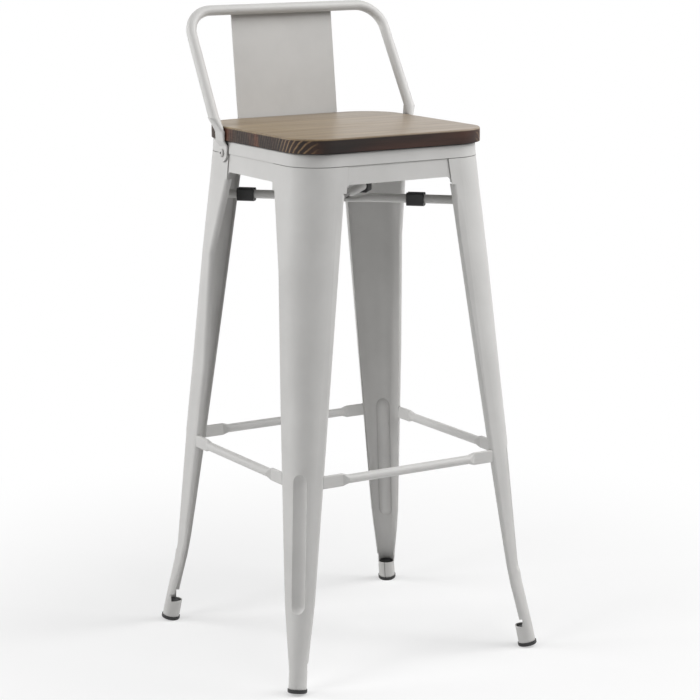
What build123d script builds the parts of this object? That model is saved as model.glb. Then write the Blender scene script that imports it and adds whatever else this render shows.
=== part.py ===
from build123d import *
import os
from math import asin, atan, atan2, cos, hypot, radians, sin, sqrt, tan

os.makedirs("parts", exist_ok=True)

# Driving sizes in millimetres, +Z up, origin on the floor under the seat centre, front towards -Y

# seat board and seat pan
seat_height = 760.0
board_width = 310.0
board_thickness = 20.0
board_corner = 50.0
board_rear_corner = 62.0
board_top_round = 2.0
board_bottom_round = 1.0
board_overhang = 5.0
pan_corner = 50.0
pan_skirt = 19.0
pan_bend = 3.0
sheet = 1.5
splay = 0.066

# clearances
fit = 0.25
seam_gap = 0.8
board_side_gap = 0.8
corner_ease = 1.0
arc_ease = 0.1
least_round = 0.5

# pressed channel legs
side_flat_top = 90.0
side_flat_low = 65.0
side_flat_kick = 44.0
front_flat_top = 73.0
front_flat_kick = 34.0
leg_fold = 6.0
leg_tip_round = 3.0
leg_corner_rest = 24.5
leg_corner_kick = 21.0
lip_length_top = 12.0
lip_length_kick = 5.0
lip_return = radians(30.0)
side_margin_top = 17.0
side_margin_kick = 10.0
side_margin_high = 2.2
side_margin_low = 2.0
front_margin_top = 18.0
front_margin_kick = 5.0
front_margin_high = 2.5
front_margin_low = 1.4
margin_run = 60.0
margin_clear = 0.3
flare_side = 67.3
flare_out = 5.7
flare_run = 110.0
flare_fade = 0.72
kick_height = 112.0
kick_blend = 14.0
groove_radius = 14.0
groove_depth = 6.5
groove_over_rest = 3.0
groove_over_kick = 12.0
groove_angle = radians(39.0)
tongue_reach = 57.0
tongue_below_seam = 21.0
tongue_end_gap = 1.0

# feet
foot_kick_out = 8.86
foot_tube = 25.4
foot_tube_top = 31.0
foot_lift = 7.5
foot_notch = 12.0
foot_slit = 0.8
glide_flange = 27.5
glide_thickness = 5.5
glide_round = 2.0
glide_stem_gap = 0.6

# apron strips
apron_show = 26.0
apron_top_gap = 5.0
apron_ear = 8.0
apron_ear_round = 6.0
apron_lip = 6.0
lip_below_ear = 3.0

# crossed braces and their bumpers
brace_tube = 12.7
brace_drop = 104.0
brace_pinch_width = 17.0
brace_pinch_half = 18.0
brace_pinch_run = 24.0
brace_pinch_round = 2.5
bumper_length = 25.0
bumper_width = 16.5
bumper_height = 19.0
bumper_sag = 0.5
bumper_round = 3.5
bumper_mouth = 8.5
bumper_from_rear_left = 55.4
bumper_from_front_right = 93.4
bumper_from_front_left = 75.4
bumper_from_rear_right = 70.4

# footrest bars
rest_height = 290.0
rest_tube = 12.7
rest_plate = 5.0
rest_plate_tall = 18.0
rest_plate_round = 1.5
rest_plate_length = 31.0
rest_taper = 9.0
rest_inset = 1.0

# back hoop
hoop_tube = 15.0
hoop_wall = 1.5
hoop_lean = radians(30.6)
hoop_from_rear = 80.0
hoop_side_gap = 2.5
hoop_rise = 165.0
hoop_top_narrowing = 3.0
hoop_bend = 40.0
hoop_flat_rise = 12.0
lug_width = 24.0
lug_thickness = 3.4
lug_from_rear = 78.0
lug_neck_drop = 8.0
lug_collar = 0.3
lug_neck_thickness = 5.0
joggle_start = 1.0
lug_joggle = 8.0

# back splat
splat_inset = 70.5
splat_over_bar = 3.0
splat_corner = 4.0
splat_joggle = 4.5
splat_tab = 30.0
splat_bolt_inset = 29.5
splat_bolt_drop = 11.5

# fasteners; head_round and key_floor are shares of a head's height, key_share a share of the thread
hoop_bolt = 6.0
hoop_bolt_head = 10.5
hoop_bolt_head_height = 3.3
hoop_nut_flats = 10.0
hoop_nut_height = 5.0
hoop_washer = 12.0
hoop_washer_height = 1.2
splat_bolt = 5.0
splat_bolt_head = 9.5
splat_bolt_head_height = 2.75
splat_nut_flats = 8.0
splat_nut_height = 4.0
bolt_end = 2.0
head_round = 0.6
key_floor = 0.35
key_share = 0.33
bolt_hole_gap = 0.3
thread_gap = 0.15
screw_shank = 4.0
screw_head = 8.0
screw_head_height = 2.6
screw_length = 14.0
screw_point = 3.0
screw_tip = 0.8
screw_inset = 55.0
pilot_over = 1.0

# Levels and places that follow from the sizes above
pan_top = seat_height - board_thickness
pan_half = board_width / 2 - board_overhang
seam = pan_top - pan_skirt
leg_top = seam - seam_gap
apron_bottom = seam - apron_show
lip_top = apron_bottom - apron_ear - lip_below_ear
brace_height = seat_height - brace_drop
hoop_base_y = board_width / 2 - hoop_from_rear
lug_y = board_width / 2 - lug_from_rear
splat_width = board_width - 2 * splat_inset
splat_bolt_spread = splat_width - 2 * splat_bolt_inset
screw_spread = board_width - 2 * screw_inset
backing_inset = sheet / 2
backing_thick = 2 * sheet - backing_inset
slope = atan(splay)

# cutters run past what they cut by the first length, and go right through with the second
overrun = 10.0
through = 40.0


def face_at(z):
    # distance of the splayed side faces from the centre at height z
    return pan_half + splay * (pan_top - z)


def pan_corner_at(z):
    return pan_corner + splay * (pan_top - z)


def blend(a, b, t):
    return a + (b - a) * t


def turned(shape, angle):
    return Rot(0, 0, angle) * shape


def at_corners(shape):
    # a piece of the +X +Y corner and its mirror images
    left = mirror(shape, about=Plane.YZ)
    return {
        "rear_right": shape,
        "rear_left": left,
        "front_right": mirror(shape, about=Plane.XZ),
        "front_left": mirror(left, about=Plane.XZ),
    }


# One leg, built on the +X +Y corner

# the foot tube stands this far outside the line of the side face where it meets the floor
foot_half = face_at(0.0) + foot_kick_out - foot_tube / 2
kick_lean = (foot_half + foot_tube / 2 - face_at(kick_height)) / kick_height


def leg_half(z):
    # outer faces: flush with the pan down to the kick, then steeper to the floor
    if z >= kick_height:
        return face_at(z)
    return face_at(kick_height) + kick_lean * (kick_height - z)


def foot_share(z):
    # 0 at the kick and above it, 1 where the foot has become a round tube
    return min(1.0, max(0.0, (kick_height - z) / (kick_height - foot_tube_top)))


foot_ring = foot_tube / 2 - arc_ease


# the side flats stand open most a little below the apron and lie in the side face again further down
flare_high = lip_top - flare_run
flare_low = blend(lip_top, rest_height, flare_fade)


def side_flat(z):
    # width of the flat that faces sideways, to the virtual edge of its fold
    if z < kick_height:
        return blend(side_flat_kick, foot_tube, foot_share(z))
    if z <= flare_low:
        return blend(side_flat_low, side_flat_kick, (flare_low - z) / (flare_low - kick_height))
    if z <= flare_high:
        return blend(flare_side, side_flat_low, (flare_high - z) / (flare_high - flare_low))
    return blend(side_flat_top, flare_side, max(0.0, (lip_top - z) / flare_run))


def flare(z):
    # how far the virtual edge of the side flat stands outside the side face
    if z >= flare_high:
        return flare_out * max(0.0, (lip_top - z) / flare_run)
    return flare_out * max(0.0, (z - flare_low) / (flare_high - flare_low))


def front_flat(z):
    # width of the flat that faces to the front or rear
    if z >= kick_height:
        return blend(front_flat_top, front_flat_kick, (seam - z) / (seam - kick_height))
    return blend(front_flat_kick, foot_tube, foot_share(z))


def leg_corner_at(z):
    # outer corner radius, flush with the pan at the top
    if z >= rest_height:
        return blend(pan_corner_at(seam), leg_corner_rest, (seam - z) / (seam - rest_height))
    if z >= kick_height:
        return blend(leg_corner_rest, leg_corner_kick, (rest_height - z) / (rest_height - kick_height))
    return blend(leg_corner_kick, foot_ring, foot_share(z))


def lip_length(z):
    return blend(lip_length_top, lip_length_kick, min(1.0, (lip_top - z) / (lip_top - kick_height)))


def channel_points(z, inset):
    # closed kite of the channel: corner, front fold, meeting point of the two lips, side fold
    lean = blend(lip_return, 0.0, foot_share(z))
    half = leg_half(z) - inset
    shorter = inset * (1 + (1 + sin(lean)) / cos(lean))
    side = side_flat(z) - shorter
    front = front_flat(z) - shorter
    outer = half + flare(z) * side / side_flat(z)
    run = ((front + outer - half) * cos(lean) - side * sin(lean)) / cos(2 * lean)
    tip = (outer - run * cos(lean), half - side + run * sin(lean))
    return [(half, half), (half - front, half), tip, (outer, half - side)]


def channel_face(z, inset):
    fold = blend(leg_fold, foot_ring, foot_share(z)) - inset
    tip = max(blend(leg_tip_round, foot_ring, foot_share(z)) - inset, least_round)
    # a corner opened by the flare gets a larger radius, so that its outermost line stays where it is
    opened = radians(45.0) + atan(flare(z) / side_flat(z)) / 2
    corner = leg_corner_at(z) * (sqrt(2) - 1) / (1 / sin(opened) - 1)
    radii = [corner - inset, fold, tip, fold]
    outline = FilletPolyline(*channel_points(z, inset), radius=radii, close=True)
    return Pos(0, 0, z) * make_face(outline.edges())


def channel(levels, inset):
    return loft([channel_face(z, inset) for z in levels], ruled=True)


def mouth_face(z):
    # open side of the channel between the two lip edges
    lean = blend(lip_return, 0.0, foot_share(z))
    along = lip_length(z)
    back = 2 * sheet
    corner, front_fold, tip, side_fold = channel_points(z, 0.0)
    side_x = side_fold[0] - along * cos(lean)
    side_y = side_fold[1] + along * sin(lean)
    front_x = front_fold[0] + along * sin(lean)
    front_y = front_fold[1] - along * cos(lean)
    points = [
        (side_x - back * sin(lean), side_y - back * cos(lean)),
        (side_x + back * sin(lean), side_y + back * cos(lean)),
        (front_x + back * cos(lean), front_y + back * sin(lean)),
        (front_x - back * cos(lean), front_y - back * sin(lean)),
        (tip[0] - overrun, tip[1] - overrun),
    ]
    return Pos(0, 0, z) * make_face(Polyline(*points, close=True).edges())


def corner_face(z, half, side, front, corner, thick):
    # two sheet flats meeting in one rounded corner
    inner = half - thick
    points = [
        (half, half - side), (half, half), (half - front, half),
        (half - front, inner), (inner, inner), (inner, half - side),
    ]
    outline = FilletPolyline(*points, radius=[0, corner, 0, 0, corner - thick, 0], close=True)
    return Pos(0, 0, z) * make_face(outline.edges())


def corner_sheet(low, high, inset, reach, corner, thick):
    # sheet corner between two heights; reach and corner radius are given at the side faces
    faces = []
    for z in (low, high):
        side, front = reach(z)
        half = face_at(z) - inset
        faces.append(corner_face(z, half, side - inset, front - inset, corner(z) - inset, thick))
    return loft(faces, ruled=True)


def flat_edges(z):
    # free edges of the leg flats above the folds, from the virtual corner
    return side_flat(z) - leg_fold / 2, front_flat(z) - leg_fold / 2


def tongue_edges(z):
    return tongue_reach, tongue_reach


def eased_pan_corner_at(z):
    # a little rounder than the pan, so that the tongue touches the skirt only on its flats
    return pan_corner_at(z) + corner_ease


def groove_point(z, radius):
    # centre of the groove cutter outside the rounded corner, a little towards the wider flat
    centre = leg_half(z) - leg_corner_at(z)
    reach = leg_corner_at(z) + radius - groove_depth
    return Vector(centre + reach * cos(groove_angle), centre + reach * sin(groove_angle), z)


def groove(radius, inset):
    top = groove_point(rest_height + groove_over_rest, radius)
    low = groove_point(kick_height + groove_over_kick, radius)
    axis = Plane(origin=low, z_dir=top - low)
    bar = axis * Cylinder(radius + inset, (top - low).length, align=(Align.CENTER, Align.CENTER, Align.MIN))
    ends = Pos(*top) * Sphere(radius + inset) + Pos(*low) * Sphere(radius + inset)
    return bar + ends


def margin_points(z, flat, wide, out, deep, inset):
    # cutter for the margin of the flat facing +X: a crease, then a plane that falls by deep to the free edge
    half = leg_half(z)
    along = Vector(-deep, -wide).normalized()
    inward = Vector(-wide, deep).normalized()
    crease = Vector(half + out, half - flat + wide) + inward * inset
    start = crease - along * overrun
    end = crease + along * (wide + overrun)
    side = Vector(2 * overrun, 0)
    return [(v.X, v.Y) for v in (start, end, end + side, start + side)]


def margin_width(z, top, kick):
    return blend(top, kick, (seam - z) / (seam - kick_height))


def margins(inset):
    # both margins of one leg; they run out into the flats above the kick and at the top or under the flare
    side = margin(flare_low, side_flat, side_margin_top, side_margin_kick, side_margin_high, side_margin_low, inset)
    front = margin(lip_top, front_flat, front_margin_top, front_margin_kick, front_margin_high, front_margin_low, inset)
    return side + mirror(front, about=Plane(origin=(0, 0, 0), z_dir=(1, -1, 0)))


def margin(high_end, flat, top, kick, high, low, inset):
    low_end = kick_height + kick_blend
    levels = [
        (high_end, margin_clear, 0.0),
        (high_end - margin_run, 0.0, high),
        (kick_height + margin_run, 0.0, low),
        (low_end, margin_clear, 0.0),
    ]
    faces = []
    for z, out, deep in levels:
        points = margin_points(z, flat(z), margin_width(z, top, kick), out, deep, inset)
        faces.append(Pos(0, 0, z) * make_face(Polyline(*points, close=True).edges()))
    return loft(faces, ruled=True)


foot_line = Vector(-kick_lean, -kick_lean, 1.0).normalized()
foot_frame = Plane(origin=(foot_half, foot_half, 0), x_dir=(-1, 1, 0), z_dir=foot_line)


def leg():
    kick_levels = [kick_height + kick_blend, kick_height - kick_blend]
    levels = [lip_top, flare_high, flare_low, rest_height, *kick_levels, foot_tube_top, 0.0]
    skin = channel(levels, 0.0) - groove(groove_radius, 0.0) - margins(0.0)
    hollow = channel(levels, sheet) - groove(groove_radius, sheet) - margins(sheet)
    notch_top = foot_tube_top + foot_notch
    mouth_levels = [lip_top + overrun, lip_top, flare_high, flare_low, *kick_levels, notch_top]
    mouth = loft([mouth_face(z) for z in mouth_levels], ruled=True)
    notch_x = leg_half(foot_tube_top) - foot_tube / 2
    notch = Pos(notch_x, notch_x, foot_tube_top) * Rot(0, 0, 45) * Box(
        foot_tube, 2 * foot_tube, foot_notch, align=(Align.MAX, Align.CENTER, Align.MIN)
    )
    slit = foot_frame * Box(
        foot_slit, foot_tube, 2 * foot_tube_top + foot_notch, align=(Align.CENTER, Align.MIN, Align.CENTER)
    )
    body = skin - hollow - mouth - notch - slit
    body = split(body, bisect_by=foot_frame.offset(foot_lift), keep=Keep.TOP)
    top_sheet = corner_sheet(lip_top, leg_top, 0.0, flat_edges, leg_corner_at, sheet)
    backing = corner_sheet(
        seam - tongue_below_seam, leg_top, backing_inset, tongue_edges, leg_corner_at, backing_thick
    )
    tongue = corner_sheet(
        leg_top - apron_top_gap, pan_top - apron_top_gap, sheet, tongue_edges, eased_pan_corner_at, sheet
    )
    return body + top_sheet + backing + tongue


# Wooden seat board with blind pilot holes under it


def screw_places():
    half = screw_spread / 2
    return [(x, y) for x in (-half, half) for y in (-half, half)]


def seat_board():
    outline = Rectangle(board_width, board_width)
    outline = fillet(outline.vertices().group_by(Axis.Y)[-1], board_rear_corner)
    outline = fillet(outline.vertices().group_by(Axis.Y)[0], board_corner)
    board = extrude(Pos(0, 0, pan_top) * outline, board_thickness)
    board = fillet(board.faces().sort_by(Axis.Z)[-1].edges(), board_top_round)
    board = fillet(board.faces().sort_by(Axis.Z)[0].edges(), board_bottom_round)
    deep = screw_length - sheet + pilot_over
    for x, y in screw_places():
        board -= Pos(x, y, pan_top) * Cylinder(
            screw_shank / 2 + thread_gap, deep, align=(Align.CENTER, Align.CENTER, Align.MIN)
        )
    return board


# Side frame: local X runs along the side, local Y up the splayed face, local Z outward


def side_frame(inset, z):
    return Plane(origin=(face_at(z) - inset, 0, z), x_dir=(0, 1, 0), z_dir=(cos(slope), 0, sin(slope)))


def side_hole(z, y, diameter):
    # round hole through everything near the right-hand side face
    return side_frame(0, z) * Pos(y, 0, 0) * Cylinder(diameter / 2, through)


hoop_hole = hoop_bolt + 2 * bolt_hole_gap
splat_hole = splat_bolt + 2 * bolt_hole_gap
splat_bolt_height = pan_top - splat_bolt_drop


def hoop_holes():
    return side_hole(seam, lug_y, hoop_hole) + turned(side_hole(seam, -lug_y, hoop_hole), 180)


def splat_holes():
    right = side_hole(splat_bolt_height, splat_bolt_spread / 2, splat_hole)
    left = side_hole(splat_bolt_height, -splat_bolt_spread / 2, splat_hole)
    return turned(right + left, 90)


# Seat pan: plate under the board and a skirt that follows the splay


def pan_face(z, inset):
    width = 2 * (face_at(z) - inset)
    return Pos(0, 0, z) * RectangleRounded(width, width, pan_corner_at(z) - inset)


def seat_pan():
    skin = loft([pan_face(seam, 0), pan_face(pan_top, 0)], ruled=True)
    skin = fillet(skin.faces().sort_by(Axis.Z)[-1].edges(), pan_bend)
    hollow = loft([pan_face(seam, sheet), pan_face(pan_top - sheet, sheet)], ruled=True)
    hollow = fillet(hollow.faces().sort_by(Axis.Z)[-1].edges(), pan_bend - sheet)
    pan = skin - hollow - hoop_holes() - splat_holes()
    for x, y in screw_places():
        pan -= Pos(x, y, pan_top) * Cylinder(screw_shank / 2 + bolt_hole_gap, through)
    return pan


# Apron strips, tucked inside the skirt and behind the leg flats


def apron(flat):
    # flat is the width of the leg flats it runs behind, at its lower edge
    end = face_at(seam) - tongue_reach - tongue_end_gap
    ear = face_at(apron_bottom) - flat
    high = pan_skirt - apron_top_gap
    low = -apron_show
    tip = low - apron_ear
    points = [
        (-end, high), (end, high), (end, tip), (ear, tip),
        (ear, low), (-ear, low), (-ear, tip), (-end, tip),
    ]
    outline = FilletPolyline(*points, radius=[0, 0, 0, 0, apron_ear_round, apron_ear_round, 0, 0], close=True)
    frame = side_frame(sheet, seam)
    strip = frame * extrude(make_face(outline.edges()), -sheet * cos(slope))
    lip_half = ear - apron_ear_round - apron_ear
    lip = frame * Pos(0, low, 0) * Box(
        2 * lip_half, sheet, apron_lip, align=(Align.CENTER, Align.MIN, Align.MAX)
    )
    return strip + lip


# Crossed braces; the one along the front-left to rear-right diagonal passes above the other


# from the centre to the outer surface of the leg corners
brace_reach = sqrt(2) * face_at(brace_height) - (sqrt(2) - 1) * leg_corner_at(brace_height)


def brace(side):
    # built along +X; side is +1 for the upper brace and -1 for the lower one
    ring = RectangleRounded(brace_tube, brace_tube, brace_tube / 2 - arc_ease)
    half_height = brace_tube / 2
    oval = RectangleRounded(brace_pinch_width, half_height, brace_pinch_round)
    flat = Pos(0, side * half_height / 2) * oval
    start = brace_pinch_half + brace_pinch_run

    def across(x, face):
        return Plane(origin=(x, 0, brace_height), x_dir=(0, 1, 0), z_dir=(1, 0, 0)) * face

    pinch = extrude(across(-brace_pinch_half, flat), 2 * brace_pinch_half)
    bar = pinch
    for sign in (-1, 1):
        bar += loft([across(sign * brace_pinch_half, flat), across(sign * start, ring)], ruled=True)
        bar += extrude(across(sign * start, ring), sign * (brace_reach - start))
    return bar


def leg_corner_block():
    # everything outside the inner surface of the leg corner around the brace, plus the end gap
    low = brace_height - brace_tube
    high = brace_height + brace_tube
    thick = overrun + sheet + fit
    return corner_sheet(low, high, -overrun, flat_edges, leg_corner_at, thick)


def fitted_brace(side, angle):
    bar = turned(brace(side), angle)
    for turn in (0, 180):
        bar -= turned(leg_corner_block(), angle - 45 + turn)
    return bar


def bumper(from_end, sign, angle):
    # clip with a round bore and an open mouth on top; sign says which end of the brace it is near
    place = sign * (brace_reach - from_end)
    along = Plane(origin=(place, 0, brace_height), x_dir=(0, 1, 0), z_dir=(1, 0, 0))
    body = Pos(0, -bumper_sag) * RectangleRounded(bumper_width, bumper_height, bumper_round)
    bore = Circle(brace_tube / 2 + fit)
    mouth = Rectangle(bumper_mouth, bumper_height, align=(Align.CENTER, Align.MIN))
    clip = extrude(along.offset(-bumper_length / 2) * (body - bore - mouth), bumper_length)
    return turned(clip, angle)


# Footrest bars with flattened ends that stop against the leg folds


def footrest(flat, wide, angle):
    # bar along Y on the right-hand side, turned to its place; its ends lie on the margins of the two flats
    centre = face_at(rest_height) - rest_inset - rest_plate / 2
    edge = face_at(rest_height) - flat
    shoulder = edge - rest_plate_length + leg_fold
    start = shoulder - rest_taper
    ring = RectangleRounded(rest_tube, rest_tube, rest_tube / 2 - arc_ease)
    plate = RectangleRounded(rest_plate, rest_plate_tall, rest_plate_round)

    def across(y, face):
        return Plane(origin=(centre, y, rest_height), x_dir=(-1, 0, 0), z_dir=(0, 1, 0)) * face

    bar = extrude(across(-start, ring), 2 * start)
    for sign in (-1, 1):
        bar += loft([across(sign * start, ring), across(sign * shoulder, plate)], ruled=True)
        bar += extrude(across(sign * shoulder, plate), sign * (edge + wide - shoulder))
    bar = turned(bar, angle)
    levels = [rest_height + rest_plate_tall, rest_height, rest_height - rest_plate_tall]
    for envelope in at_corners(channel(levels, -fit) - margins(-fit)).values():
        bar -= envelope
    return bar


# Foot glides: a tilted disc with a stem inside the foot tube, cut flat by the floor


def foot_glide():
    base = foot_lift - glide_thickness
    disc = Pos(0, 0, base) * Cylinder(
        glide_flange / 2, glide_thickness, align=(Align.CENTER, Align.CENTER, Align.MIN)
    )
    disc = fillet(disc.edges().sort_by(Axis.Z)[0], glide_round)
    stem = Pos(0, 0, foot_lift) * Cylinder(
        foot_tube / 2 - sheet - glide_stem_gap,
        foot_tube_top - foot_lift,
        align=(Align.CENTER, Align.CENTER, Align.MIN),
    )
    return split(foot_frame * (disc + stem), bisect_by=Plane.XY, keep=Keep.TOP)


# Back hoop: a bent tube whose ends are pressed flat into lugs beside the pan

bar_z = seat_height + hoop_rise - hoop_tube / 2
bar_y = hoop_base_y + (bar_z - seat_height) * tan(hoop_lean)
arm_x = board_width / 2 + hoop_side_gap + hoop_tube / 2
flat_start = seat_height + hoop_flat_rise


def arm_y(z):
    return hoop_base_y + (z - seat_height) * tan(hoop_lean)


def lug_face(x, y, z, width, thick):
    return Pos(x, y, z) * SlotOverall(width, thick, rotation=90)


def lug():
    # right-hand lug, from the round tube down to the bolt
    beside_board = board_width / 2 + board_side_gap
    end = seam - lug_width
    bent = pan_top - joggle_start - lug_joggle
    top_x = arm_x - hoop_top_narrowing * hoop_flat_rise / hoop_rise
    top_width = hoop_tube / cos(hoop_lean) + 2 * lug_collar
    sections = [
        lug_face(top_x, arm_y(flat_start), flat_start, top_width, hoop_tube + 2 * lug_collar),
        lug_face(
            beside_board + lug_neck_thickness / 2,
            (lug_y + arm_y(seat_height)) / 2,
            seat_height - lug_neck_drop,
            lug_width,
            lug_neck_thickness,
        ),
        lug_face(beside_board + lug_thickness / 2, lug_y, pan_top - joggle_start, lug_width, lug_thickness),
        lug_face(face_at(bent) + lug_thickness / 2, lug_y, bent, lug_width, lug_thickness),
        lug_face(face_at(end) + lug_thickness / 2, lug_y, end, lug_width, lug_thickness),
    ]
    strip = loft(sections, ruled=True)
    disc = Plane.YZ * Pos(lug_y, seam) * Circle(lug_width / 2)
    above = Plane.YZ * Pos(lug_y, seam) * Rectangle(hoop_rise, hoop_rise, align=(Align.CENTER, Align.MIN))
    return strip & extrude(disc + above, board_width)


def back_hoop():
    square = (0, -cos(hoop_lean), sin(hoop_lean))
    frame = Plane(origin=(0, hoop_base_y, seat_height), x_dir=(1, 0, 0), z_dir=square)
    top_x = arm_x - hoop_top_narrowing
    top = (bar_z - seat_height) / cos(hoop_lean)
    path = frame * FilletPolyline(
        (-arm_x, 0), (-top_x, top), (top_x, top), (arm_x, 0), radius=[hoop_bend, hoop_bend]
    )
    ring = Circle(hoop_tube / 2) - Circle(hoop_tube / 2 - hoop_wall)
    tube = sweep(Plane(origin=path @ 0, z_dir=path % 0) * ring, path=path)
    tube = split(tube, bisect_by=Plane.XY.offset(flat_start), keep=Keep.TOP)
    right = lug()
    return tube + right + mirror(right, about=Plane.YZ) - hoop_holes()


# Back splat: a flat sheet behind the hoop's top bar, its foot stepped in onto the rear skirt


def back_splat():
    base_y = board_width / 2 + board_side_gap
    base_z = pan_top - joggle_start
    run = hypot(bar_y - base_y, bar_z - base_z)
    lean = atan2(bar_y - base_y, bar_z - base_z) + asin((hoop_tube / 2 + fit) / run)
    top_z = bar_z + splat_over_bar
    step_z = base_z - splat_joggle
    end_z = pan_top - splat_tab
    front = [
        (base_y + (top_z - base_z) * tan(lean), top_z),
        (base_y, base_z),
        (face_at(step_z), step_z),
        (face_at(end_z), end_z),
    ]
    rear = [(y + sheet, z) for y, z in reversed(front)]
    profile = make_face(Polyline(*front, *rear, close=True).edges())
    plate = extrude(Plane.YZ.offset(-splat_width / 2) * profile, splat_width)
    outline = Pos(0, (top_z + end_z) / 2) * RectangleRounded(splat_width, top_z - end_z, splat_corner)
    trim = extrude(Plane.XZ * outline, -2 * board_width)
    return (plate & trim) - splat_holes()


# Fasteners, each set one group of solids


def bolt(thread, head, head_height, grip):
    # head above its seat at local Z 0, shank below
    cap = Cylinder(head / 2, head_height, align=(Align.CENTER, Align.CENTER, Align.MIN))
    cap = fillet(cap.faces().sort_by(Axis.Z)[-1].edges(), head_height * head_round)
    key = Pos(0, 0, head_height * key_floor) * extrude(RegularPolygon(thread * key_share, 6), head_height)
    shank = Cylinder(thread / 2, grip, align=(Align.CENTER, Align.CENTER, Align.MAX))
    return cap - key + shank


def nut(thread, flats, height):
    # seat at local Z 0, body below
    blank = extrude(RegularPolygon(flats / sqrt(3), 6), -height)
    return blank - Cylinder(thread / 2 + thread_gap, through)


def washer(thread, outside, height):
    ring = Circle(outside / 2) - Circle(thread / 2 + bolt_hole_gap)
    return extrude(ring, -height)


# skirt and apron together, measured square to the side face
wall = 2 * sheet * cos(slope)
lug_out = lug_thickness * cos(slope)
splat_out = sheet * cos(slope)
hoop_grip = lug_out + wall + hoop_washer_height + hoop_nut_height + bolt_end
splat_grip = splat_out + wall + splat_nut_height + bolt_end


def both_lugs(out, piece):
    # out is measured along the bolt from the skirt's outer face
    frame = side_frame(0, seam)
    right = frame * Pos(lug_y, 0, out) * piece
    left = turned(frame * Pos(-lug_y, 0, out) * piece, 180)
    return Compound(children=[right, left])


def both_splat(out, piece):
    frame = side_frame(0, splat_bolt_height)
    pair = [turned(frame * Pos(s * splat_bolt_spread / 2, 0, out) * piece, 90) for s in (-1, 1)]
    return Compound(children=pair)


def seat_screw():
    # head under the pan plate, shank up into the board
    head = Cylinder(screw_head / 2, screw_head_height, align=(Align.CENTER, Align.CENTER, Align.MAX))
    head = fillet(head.faces().sort_by(Axis.Z)[0].edges(), screw_head_height * head_round)
    straight = screw_length - screw_point
    shank = Cylinder(screw_shank / 2, straight, align=(Align.CENTER, Align.CENTER, Align.MIN))
    point = Pos(0, 0, straight) * Cone(
        screw_shank / 2, screw_tip / 2, screw_point, align=(Align.CENTER, Align.CENTER, Align.MIN)
    )
    return head + shank + point


def seat_screws():
    one = seat_screw()
    return Compound(children=[Pos(x, y, pan_top - sheet) * one for x, y in screw_places()])


# Assembly: corner pieces are mirror images of the rear right one, side pieces are turned from the right

nodes = {"seat_board": seat_board(), "seat_pan": seat_pan()}

for name, shape in at_corners(leg()).items():
    if name in ("rear_right", "rear_left"):
        shape -= hoop_holes()
    nodes["leg_" + name] = shape

for name, shape in at_corners(foot_glide()).items():
    nodes["foot_glide_" + name] = shape

side_edge, front_edge = flat_edges(apron_bottom)
nodes["apron_right"] = apron(side_edge) - hoop_holes()
nodes["apron_left"] = turned(apron(side_edge), 180) - hoop_holes()
nodes["apron_rear"] = turned(apron(front_edge), 90) - splat_holes()
nodes["apron_front"] = turned(apron(front_edge), 270)

side_wide = margin_width(rest_height, side_margin_top, side_margin_kick)
front_wide = margin_width(rest_height, front_margin_top, front_margin_kick)
nodes["footrest_right"] = footrest(side_flat(rest_height), side_wide, 0)
nodes["footrest_left"] = footrest(side_flat(rest_height), side_wide, 180)
nodes["footrest_rear"] = footrest(front_flat(rest_height), front_wide, 90)
nodes["footrest_front"] = footrest(front_flat(rest_height), front_wide, 270)

nodes["brace_upper"] = fitted_brace(1, 45)
nodes["brace_lower"] = fitted_brace(-1, -45)
nodes["stack_bumper_rear_left"] = bumper(bumper_from_rear_left, -1, -45)
nodes["stack_bumper_front_right"] = bumper(bumper_from_front_right, 1, -45)
nodes["stack_bumper_front_left"] = bumper(bumper_from_front_left, -1, 45)
nodes["stack_bumper_rear_right"] = bumper(bumper_from_rear_right, 1, 45)

nodes["back_hoop"] = back_hoop()
nodes["back_splat"] = back_splat()
lug_screw = bolt(hoop_bolt, hoop_bolt_head, hoop_bolt_head_height, hoop_grip)
nodes["hoop_bolts"] = both_lugs(lug_out, lug_screw)
nodes["hoop_washers"] = both_lugs(-wall, washer(hoop_bolt, hoop_washer, hoop_washer_height))
nodes["hoop_nuts"] = both_lugs(
    -wall - hoop_washer_height, nut(hoop_bolt, hoop_nut_flats, hoop_nut_height)
)
splat_screw = bolt(splat_bolt, splat_bolt_head, splat_bolt_head_height, splat_grip)
nodes["splat_bolts"] = both_splat(splat_out, splat_screw)
nodes["splat_nuts"] = both_splat(-wall, nut(splat_bolt, splat_nut_flats, splat_nut_height))
nodes["seat_screws"] = seat_screws()

for name, shape in nodes.items():
    export_step(shape, "parts/" + name + ".step")
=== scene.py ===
import bpy, bmesh, math
from mathutils import Matrix, Vector

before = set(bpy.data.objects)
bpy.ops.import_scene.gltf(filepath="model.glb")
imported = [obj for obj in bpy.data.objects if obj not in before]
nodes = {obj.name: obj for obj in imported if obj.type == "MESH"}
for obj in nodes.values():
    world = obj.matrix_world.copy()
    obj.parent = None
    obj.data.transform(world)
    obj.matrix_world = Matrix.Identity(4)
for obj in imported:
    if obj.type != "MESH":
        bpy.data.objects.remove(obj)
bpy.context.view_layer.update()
scene = bpy.context.scene
scene.view_settings.view_transform = "Standard"
print("frame loaded:", len(nodes), "nodes")

# viewpoint of the photograph, in metres and degrees
cameraSettings = {
    "place": (-1.681549, -2.813694, 1.106593),
    "azimuth": -31.016,
    "elevation": 11.657,
    "roll": -0.293,
    "lens": 117.985,
    "sensor": 36.0,
    "clipEnd": 50.0,
}


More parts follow.
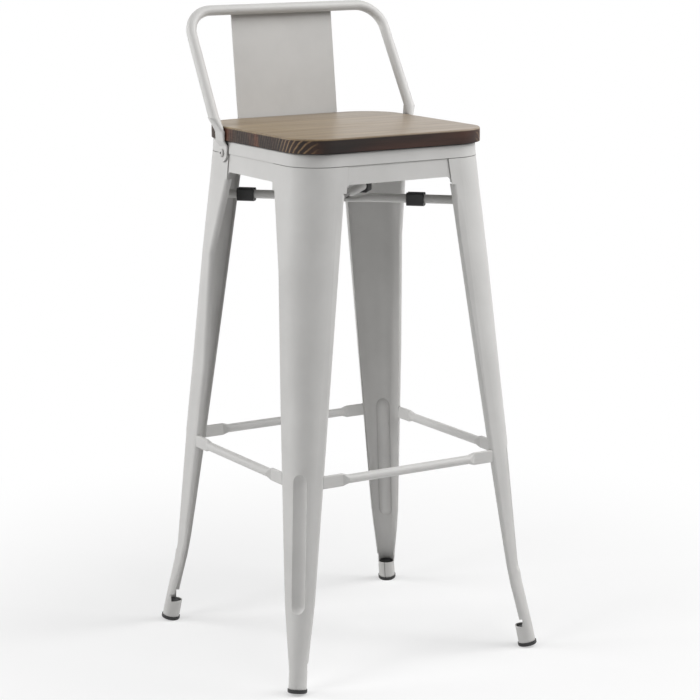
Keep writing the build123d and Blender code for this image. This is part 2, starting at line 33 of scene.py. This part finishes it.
def makeCamera(s):
    a, e, r = (math.radians(s[k]) for k in ("azimuth", "elevation", "roll"))
    back = Vector((math.sin(a) * math.cos(e), -math.cos(a) * math.cos(e), math.sin(e)))
    right = Vector((0, 0, 1)).cross(back).normalized()
    up = back.cross(right)
    rolledRight = right * math.cos(r) + up * math.sin(r)
    rolledUp = up * math.cos(r) - right * math.sin(r)
    data = bpy.data.cameras.new("photoCamera")
    data.lens = s["lens"]
    data.sensor_width = s["sensor"]
    data.sensor_fit = "HORIZONTAL"
    data.clip_end = s["clipEnd"]
    camera = bpy.data.objects.new("photoCamera", data)
    turn = Matrix((rolledRight, rolledUp, back)).transposed().to_4x4()
    camera.matrix_world = Matrix.Translation(s["place"]) @ turn
    scene.collection.objects.link(camera)
    scene.camera = camera


makeCamera(cameraSettings)
print("camera placed")


# short ways to write a node tree
def addNode(tree, kind, inputs=None, **values):
    node = tree.nodes.new(kind)
    for key, value in values.items():
        setattr(node, key, value)
    for key, value in (inputs or {}).items():
        if isinstance(value, bpy.types.NodeSocket):
            tree.links.new(value, node.inputs[key])
        else:
            node.inputs[key].default_value = value
    return node


def math2(tree, operation, a, b=0.0):
    return addNode(tree, "ShaderNodeMath", {0: a, 1: b}, operation=operation).outputs[0]


def spanNode(tree, value, fromSpan, low=0.0, high=1.0):
    node = addNode(tree, "ShaderNodeMapRange", {
        "Value": value, "From Min": fromSpan[0], "From Max": fromSpan[1], "To Min": low, "To Max": high})
    return node.outputs["Result"]


def rampNode(tree, factor, stops):
    node = addNode(tree, "ShaderNodeValToRGB", {"Fac": factor})
    ramp = node.color_ramp
    while len(ramp.elements) < len(stops):
        ramp.elements.new(0.5)
    for element, (place, colour) in zip(ramp.elements, stops):
        element.position = place
        element.color = (*colour, 1.0)
    return node.outputs["Color"]


def mixColour(tree, factor, a, b):
    node = addNode(tree, "ShaderNodeMix", data_type="RGBA")
    for key, value in (("Factor", factor), ("A", a), ("B", b)):
        socket = next(x for x in node.inputs if x.name == key and x.enabled)
        if isinstance(value, bpy.types.NodeSocket):
            tree.links.new(value, socket)
        else:
            socket.default_value = value if key == "Factor" else (*value, 1.0)
    return next(x for x in node.outputs if x.enabled)


def seenRays(tree):
    # 1 for what the lens sees straight, mirrored or through glass
    path = addNode(tree, "ShaderNodeLightPath")
    bounced = math2(tree, "ADD", path.outputs["Is Glossy Ray"], path.outputs["Is Transmission Ray"])
    return math2(tree, "ADD", path.outputs["Is Camera Ray"], bounced)


def newMaterial(name):
    material = bpy.data.materials.new(name)
    material.use_nodes = True
    tree = material.node_tree
    tree.nodes.clear()
    shader = addNode(tree, "ShaderNodeBsdfPrincipled")
    output = addNode(tree, "ShaderNodeOutputMaterial")
    tree.links.new(shader.outputs["BSDF"], output.inputs["Surface"])
    coords = addNode(tree, "ShaderNodeTexCoord").outputs["Object"]
    return material, tree, shader, coords


def setColour(hexText):
    # sRGB hex to linear
    parts = [int(hexText[i:i + 2], 16) / 255 for i in (0, 2, 4)]
    return tuple(c / 12.92 if c <= 0.04045 else ((c + 0.055) / 1.055) ** 2.4 for c in parts)


# speckle shared by paint, plastic and plating: a broad mottle and a fine skin, and the span and samples
# of the painted shade in the seams
speckleSettings = {
    "mottleDetail": 4.0, "mottleRoughness": 0.6, "skinDetail": 2.0, "skinRoughness": 0.5,
    "toneStops": (0.32, 0.68), "roughSpan": (0.3, 0.7), "seamShadeSpan": (0.25, 0.85), "seamShadeSamples": 8,
}


def makeSpeckleGroup(s):
    group = bpy.data.node_groups.new("surfaceSpeckle", "ShaderNodeTree")
    group.interface.new_socket("Vector", in_out="INPUT", socket_type="NodeSocketVector")
    group.interface.new_socket("Mottle Scale", in_out="INPUT", socket_type="NodeSocketFloat")
    group.interface.new_socket("Skin Scale", in_out="INPUT", socket_type="NodeSocketFloat")
    group.interface.new_socket("Mottle", in_out="OUTPUT", socket_type="NodeSocketFloat")
    group.interface.new_socket("Skin", in_out="OUTPUT", socket_type="NodeSocketFloat")
    source = addNode(group, "NodeGroupInput")
    broad = addNode(group, "ShaderNodeTexNoise", {
        "Vector": source.outputs["Vector"], "Scale": source.outputs["Mottle Scale"],
        "Detail": s["mottleDetail"], "Roughness": s["mottleRoughness"]})
    fine = addNode(group, "ShaderNodeTexNoise", {
        "Vector": source.outputs["Vector"], "Scale": source.outputs["Skin Scale"],
        "Detail": s["skinDetail"], "Roughness": s["skinRoughness"]})
    addNode(group, "NodeGroupOutput", {
        "Mottle": broad.outputs["Fac"], "Skin": fine.outputs["Fac"]})
    return group


speckle = makeSpeckleGroup(speckleSettings)


def speckled(settings):
    # painted, moulded or plated finish from one set of values
    shared = speckleSettings
    material, tree, shader, coords = newMaterial(settings["name"])
    spots = addNode(tree, "ShaderNodeGroup", node_tree=speckle)
    tree.links.new(coords, spots.inputs["Vector"])
    spots.inputs["Mottle Scale"].default_value = settings["mottleScale"]
    spots.inputs["Skin Scale"].default_value = settings["skinScale"]
    tones = (setColour(settings["darkTone"]), setColour(settings["lightTone"]))
    colour = rampNode(tree, spots.outputs["Mottle"], tuple(zip(shared["toneStops"], tones)))
    # painted shade: the base colour darkens by ambient occlusion where two pieces meet
    seamShadeAo = addNode(tree, "ShaderNodeAmbientOcclusion", {"Distance": settings["seamShadeReach"]},
                   samples=shared["seamShadeSamples"])
    clear = spanNode(tree, seamShadeAo.outputs["AO"], shared["seamShadeSpan"])
    colour = mixColour(tree, clear, setColour(settings["seamShadeTone"]), colour)
    tree.links.new(colour, shader.inputs["Base Color"])
    rough = spanNode(tree, spots.outputs["Mottle"], shared["roughSpan"], *settings["roughness"])
    tree.links.new(rough, shader.inputs["Roughness"])
    bump = addNode(tree, "ShaderNodeBump", {
        "Height": spots.outputs["Skin"], "Strength": settings["skinStrength"],
        "Distance": settings["skinDepth"]})
    tree.links.new(bump.outputs["Normal"], shader.inputs["Normal"])
    shader.inputs["Metallic"].default_value = settings["metallic"]
    return material


# the last two values of each finish give the colour and reach of its painted seam shade
paintSettings = {
    "name": "greyPaint", "darkTone": "c0bfbd", "lightTone": "c7c6c4", "roughness": (0.42, 0.50),
    "mottleScale": 14.0, "skinScale": 620.0, "skinStrength": 0.10, "skinDepth": 0.0003,
    "metallic": 0.0, "seamShadeTone": "5f5d5b", "seamShadeReach": 0.004,
}
plasticSettings = {
    "name": "blackPlastic", "darkTone": "1b1b1c", "lightTone": "262627", "roughness": (0.42, 0.55),
    "mottleScale": 60.0, "skinScale": 1900.0, "skinStrength": 0.35, "skinDepth": 0.0004,
    "metallic": 0.0, "seamShadeTone": "101011", "seamShadeReach": 0.004,
}
platingSettings = {
    "name": "zincPlating", "darkTone": "9d9d99", "lightTone": "c6c7c4", "roughness": (0.26, 0.40),
    "mottleScale": 220.0, "skinScale": 1500.0, "skinStrength": 0.15, "skinDepth": 0.0003,
    "metallic": 1.0, "seamShadeTone": "4f4f4d", "seamShadeReach": 0.003,
}
greyPaint = speckled(paintSettings)
blackPlastic = speckled(plasticSettings)
zincPlating = speckled(platingSettings)

# stained softwood, grain along X: dark sides with rings at the ends, and a top painted paler as sheen
woodSettings = {
    "sideDark": "1a1311", "sideBrown": "35261f", "sideRed": "5b3526", "ringPale": "957a5c",
    # the top tones are painted sheen, and the last of them is a painted reflection
    "topDark": "6f5d47", "topPale": "94805f", "topSheen": "a1968b",
    "ringAxis": (-0.205, 0.695), "ringsPerMetre": 155.0, "ringStops": (0.40, 0.58, 0.70, 0.84),
    "wanderScale": (2.5, 16.0, 16.0), "wanderBy": 0.016,
    "fibreScales": ((8.0, 520.0, 90.0), (8.0, 90.0, 520.0)),
    "bandScale": (2.0, 58.0, 14.0), "warmthScale": (1.5, 24.0, 7.0),
    # sides: where each effect sets in and how much it shows
    "sideBands": (0.36, 0.62), "redSpan": (0.50, 0.66), "redShare": 0.75,
    "endSpan": (0.126, 0.143), "ringFade": (-0.108, -0.080), "ringShares": (0.72, 0.12),
    "sideFibres": (0.50, 0.64), "sideFibreShare": 0.6, "sideRough": (0.52, 0.68),
    # top: the same, with staves of their own tone; the top's paler tones are painted sheen that reaches
    # over the rounded arris as a painted edge highlight, and they grow paler to the right as a painted
    # reflection
    "topSpan": (0.7572, 0.7586), "staveFrom": 0.155, "staveWidth": 0.0775, "staveSeed": 5.3,
    "staveShare": 0.35, "topBands": (0.34, 0.66), "topBandShare": 0.65,
    "sheenSpan": (-0.12, 0.16), "sheenShare": 0.55, "topRingShare": 0.16,
    "topFibres": (0.48, 0.66), "topFibreShare": 0.32, "topRough": (0.30, 0.42),
    "roughSpan": (0.35, 0.65), "specular": 0.28,
    "ringRelief": 0.2, "bumpStrength": 0.22, "bumpDepth": 0.0007,
}


def makeWood(s):
    material, tree, shader, coords = newMaterial("stainedWood")
    x, y, z = addNode(tree, "ShaderNodeSeparateXYZ", {0: coords}).outputs
    tone = {key: setColour(value) for key, value in s.items() if isinstance(value, str)}
    black, white = (0, 0, 0), (1, 1, 1)

    def plus(a, b):
        return math2(tree, "ADD", a, b)

    def minus(a, b):
        return math2(tree, "SUBTRACT", a, b)

    def times(a, b):
        return math2(tree, "MULTIPLY", a, b)

    def span(value, fromSpan, low=0.0, high=1.0):
        return spanNode(tree, value, fromSpan, low, high)

    def grainNoise(scale, detail, roughness=0.55):
        placed = addNode(tree, "ShaderNodeMapping", {"Vector": coords, "Scale": scale})
        noise = addNode(tree, "ShaderNodeTexNoise", {
            "Vector": placed.outputs[0], "Scale": 1.0, "Detail": detail, "Roughness": roughness})
        return noise.outputs["Fac"]

    wander = times(minus(grainNoise(s["wanderScale"], 3.0), 0.5), s["wanderBy"])
    fibres = times(plus(*(grainNoise(scale, 4.0, 0.6) for scale in s["fibreScales"])), 0.5)
    bands = grainNoise(s["bandScale"], 3.0)
    warmth = grainNoise(s["warmthScale"], 2.0)
    # rings round an axis in front of the board
    fromY = plus(minus(y, s["ringAxis"][0]), wander)
    fromZ = minus(z, s["ringAxis"][1])
    radius = math2(tree, "SQRT", plus(times(fromY, fromY), times(fromZ, fromZ)))
    turn = math2(tree, "FRACT", times(radius, s["ringsPerMetre"]))
    rise, full, fall, gone = s["ringStops"]
    ring = rampNode(tree, turn, ((0.0, black), (rise, black), (full, white), (fall, white),
                                 (gone, black), (1.0, black)))
    # sides: brown, darker and redder bands, pale rings where the end grain shows
    sides = mixColour(tree, span(bands, s["sideBands"]), tone["sideDark"], tone["sideBrown"])
    sides = mixColour(tree, span(warmth, s["redSpan"], 0.0, s["redShare"]), sides, tone["sideRed"])
    endGrain = span(math2(tree, "ABSOLUTE", x), s["endSpan"])
    ringShow = times(endGrain, span(y, s["ringFade"], *s["ringShares"]))
    sides = mixColour(tree, times(ring, ringShow), sides, tone["ringPale"])
    sideLines = span(fibres, s["sideFibres"], 0.0, s["sideFibreShare"])
    sides = mixColour(tree, sideLines, sides, tone["sideDark"])
    # top: tan staves with quiet grain, paler than the sides as painted sheen, and paler still to the
    # right as a painted reflection
    stave = math2(tree, "FLOOR", math2(tree, "DIVIDE", plus(y, s["staveFrom"]), s["staveWidth"]))
    luck = addNode(tree, "ShaderNodeTexWhiteNoise", {"W": plus(stave, s["staveSeed"])},
                   noise_dimensions="1D")
    pale = plus(times(luck.outputs["Value"], s["staveShare"]),
                span(bands, s["topBands"], 0.0, s["topBandShare"]))
    top = mixColour(tree, pale, tone["topDark"], tone["topPale"])
    # painted reflection: the top turns paler and greyer towards +X
    top = mixColour(tree, span(x, s["sheenSpan"], 0.0, s["sheenShare"]), top, tone["topSheen"])
    top = mixColour(tree, times(ring, s["topRingShare"]), top, tone["sideBrown"])
    topLines = span(fibres, s["topFibres"], 0.0, s["topFibreShare"])
    top = mixColour(tree, topLines, top, tone["sideBrown"])
    # the top colour starts just below the top face, so the rounded arris gets a painted edge highlight
    onTop = span(z, s["topSpan"])
    tree.links.new(mixColour(tree, onTop, sides, top), shader.inputs["Base Color"])
    sideRough = span(fibres, s["roughSpan"], *s["sideRough"])
    topRough = span(fibres, s["roughSpan"], *s["topRough"])
    rough = plus(times(topRough, onTop), times(sideRough, minus(1.0, onTop)))
    tree.links.new(rough, shader.inputs["Roughness"])
    shader.inputs["Specular IOR Level"].default_value = s["specular"]
    bump = addNode(tree, "ShaderNodeBump", {
        "Height": minus(times(ring, s["ringRelief"]), fibres),
        "Strength": s["bumpStrength"], "Distance": s["bumpDepth"]})
    tree.links.new(bump.outputs["Normal"], shader.inputs["Normal"])
    return material


stainedWood = makeWood(woodSettings)
print("materials made")

# every solid that isn't named here is painted
otherFinish = {
    "seat_board": stainedWood,
    "stack_bumper": blackPlastic, "foot_glide": blackPlastic,
    "hoop_washers": zincPlating, "hoop_nuts": zincPlating,
    "splat_nuts": zincPlating, "seat_screws": zincPlating,
}
for name, solid in nodes.items():
    finish = next((m for start, m in otherFinish.items() if name.startswith(start)), greyPaint)
    for place in solid.material_slots:
        place.material = finish
print("solids dressed")

# plain pale floor; what the lens sees of it fades to white away from the stool, its shadow stays
floorSettings = {
    "half": 9.0, "segments": 4, "tone": 0.88, "nearWhite": 0.46, "fadeFrom": 0.25, "fadeTo": 1.1,
}


def makeFloor(s):
    mesh = bpy.data.meshes.new("paleFloor")
    bm = bmesh.new()
    bmesh.ops.create_grid(bm, x_segments=s["segments"], y_segments=s["segments"], size=s["half"])
    bm.to_mesh(mesh)
    bm.free()
    floor = bpy.data.objects.new("paleFloor", mesh)
    scene.collection.objects.link(floor)
    material = bpy.data.materials.new("paleFloor")
    material.use_nodes = True
    tree = material.node_tree
    tree.nodes.clear()
    matte = addNode(tree, "ShaderNodeBsdfDiffuse", {"Color": (s["tone"], s["tone"], s["tone"], 1)})
    coords = addNode(tree, "ShaderNodeTexCoord").outputs["Object"]
    away = addNode(tree, "ShaderNodeVectorMath", {0: coords}, operation="LENGTH").outputs["Value"]
    fade = addNode(tree, "ShaderNodeMapRange", {
        "Value": away, "From Min": s["fadeFrom"], "From Max": s["fadeTo"],
        "To Min": s["nearWhite"], "To Max": 1.0}, interpolation_type="SMOOTHSTEP")
    glow = addNode(tree, "ShaderNodeEmission", {"Strength": 1.0})
    share = math2(tree, "MULTIPLY", math2(tree, "MINIMUM", seenRays(tree), 1.0), fade.outputs["Result"])
    both = addNode(tree, "ShaderNodeMixShader", {0: share, 1: matte.outputs[0], 2: glow.outputs[0]})
    addNode(tree, "ShaderNodeOutputMaterial", {"Surface": both.outputs[0]})
    mesh.materials.append(material)


makeFloor(floorSettings)
print("floor laid")

# soft studio light: panels behind and beside the stool on the left, higher ones to the front and right
lightSettings = {
    "backLeftPanel": {"place": (-2.3, 1.8, 1.7), "aim": (0, 0, 0.45), "size": 1.7, "watts": 50},
    "leftPanel": {"place": (-2.5, -0.2, 2.3), "aim": (0, 0, 0.45), "size": 1.2, "watts": 27},
    "frontPanel": {"place": (0.4, -1.6, 3.0), "aim": (0, 0, 0.6), "size": 2.2, "watts": 38},
    "rightPanel": {"place": (2.3, -1.2, 2.3), "aim": (0, 0, 0.5), "size": 2.0, "watts": 72},
}


def makeLight(name, s):
    data = bpy.data.lights.new(name, "AREA")
    data.shape = "SQUARE"
    data.size = s["size"]
    data.energy = s["watts"]
    lamp = bpy.data.objects.new(name, data)
    lamp.location = s["place"]
    lamp.rotation_euler = (Vector(s["aim"]) - Vector(s["place"])).to_track_quat("-Z", "Y").to_euler()
    scene.collection.objects.link(lamp)


for name, s in lightSettings.items():
    makeLight(name, s)

# white all round for the lens, and only a little light from it
worldSettings = {"light": 0.05, "seen": 1.0}


def makeWorld(s):
    world = bpy.data.worlds.new("whiteStudio")
    world.use_nodes = True
    tree = world.node_tree
    tree.nodes.clear()
    extra = math2(tree, "MULTIPLY", seenRays(tree), s["seen"] - s["light"])
    strength = math2(tree, "ADD", extra, s["light"])
    back = addNode(tree, "ShaderNodeBackground", {"Color": (1, 1, 1, 1), "Strength": strength})
    addNode(tree, "ShaderNodeOutputWorld", {"Surface": back.outputs[0]})
    scene.world = world


makeWorld(worldSettings)
print("studio lit")
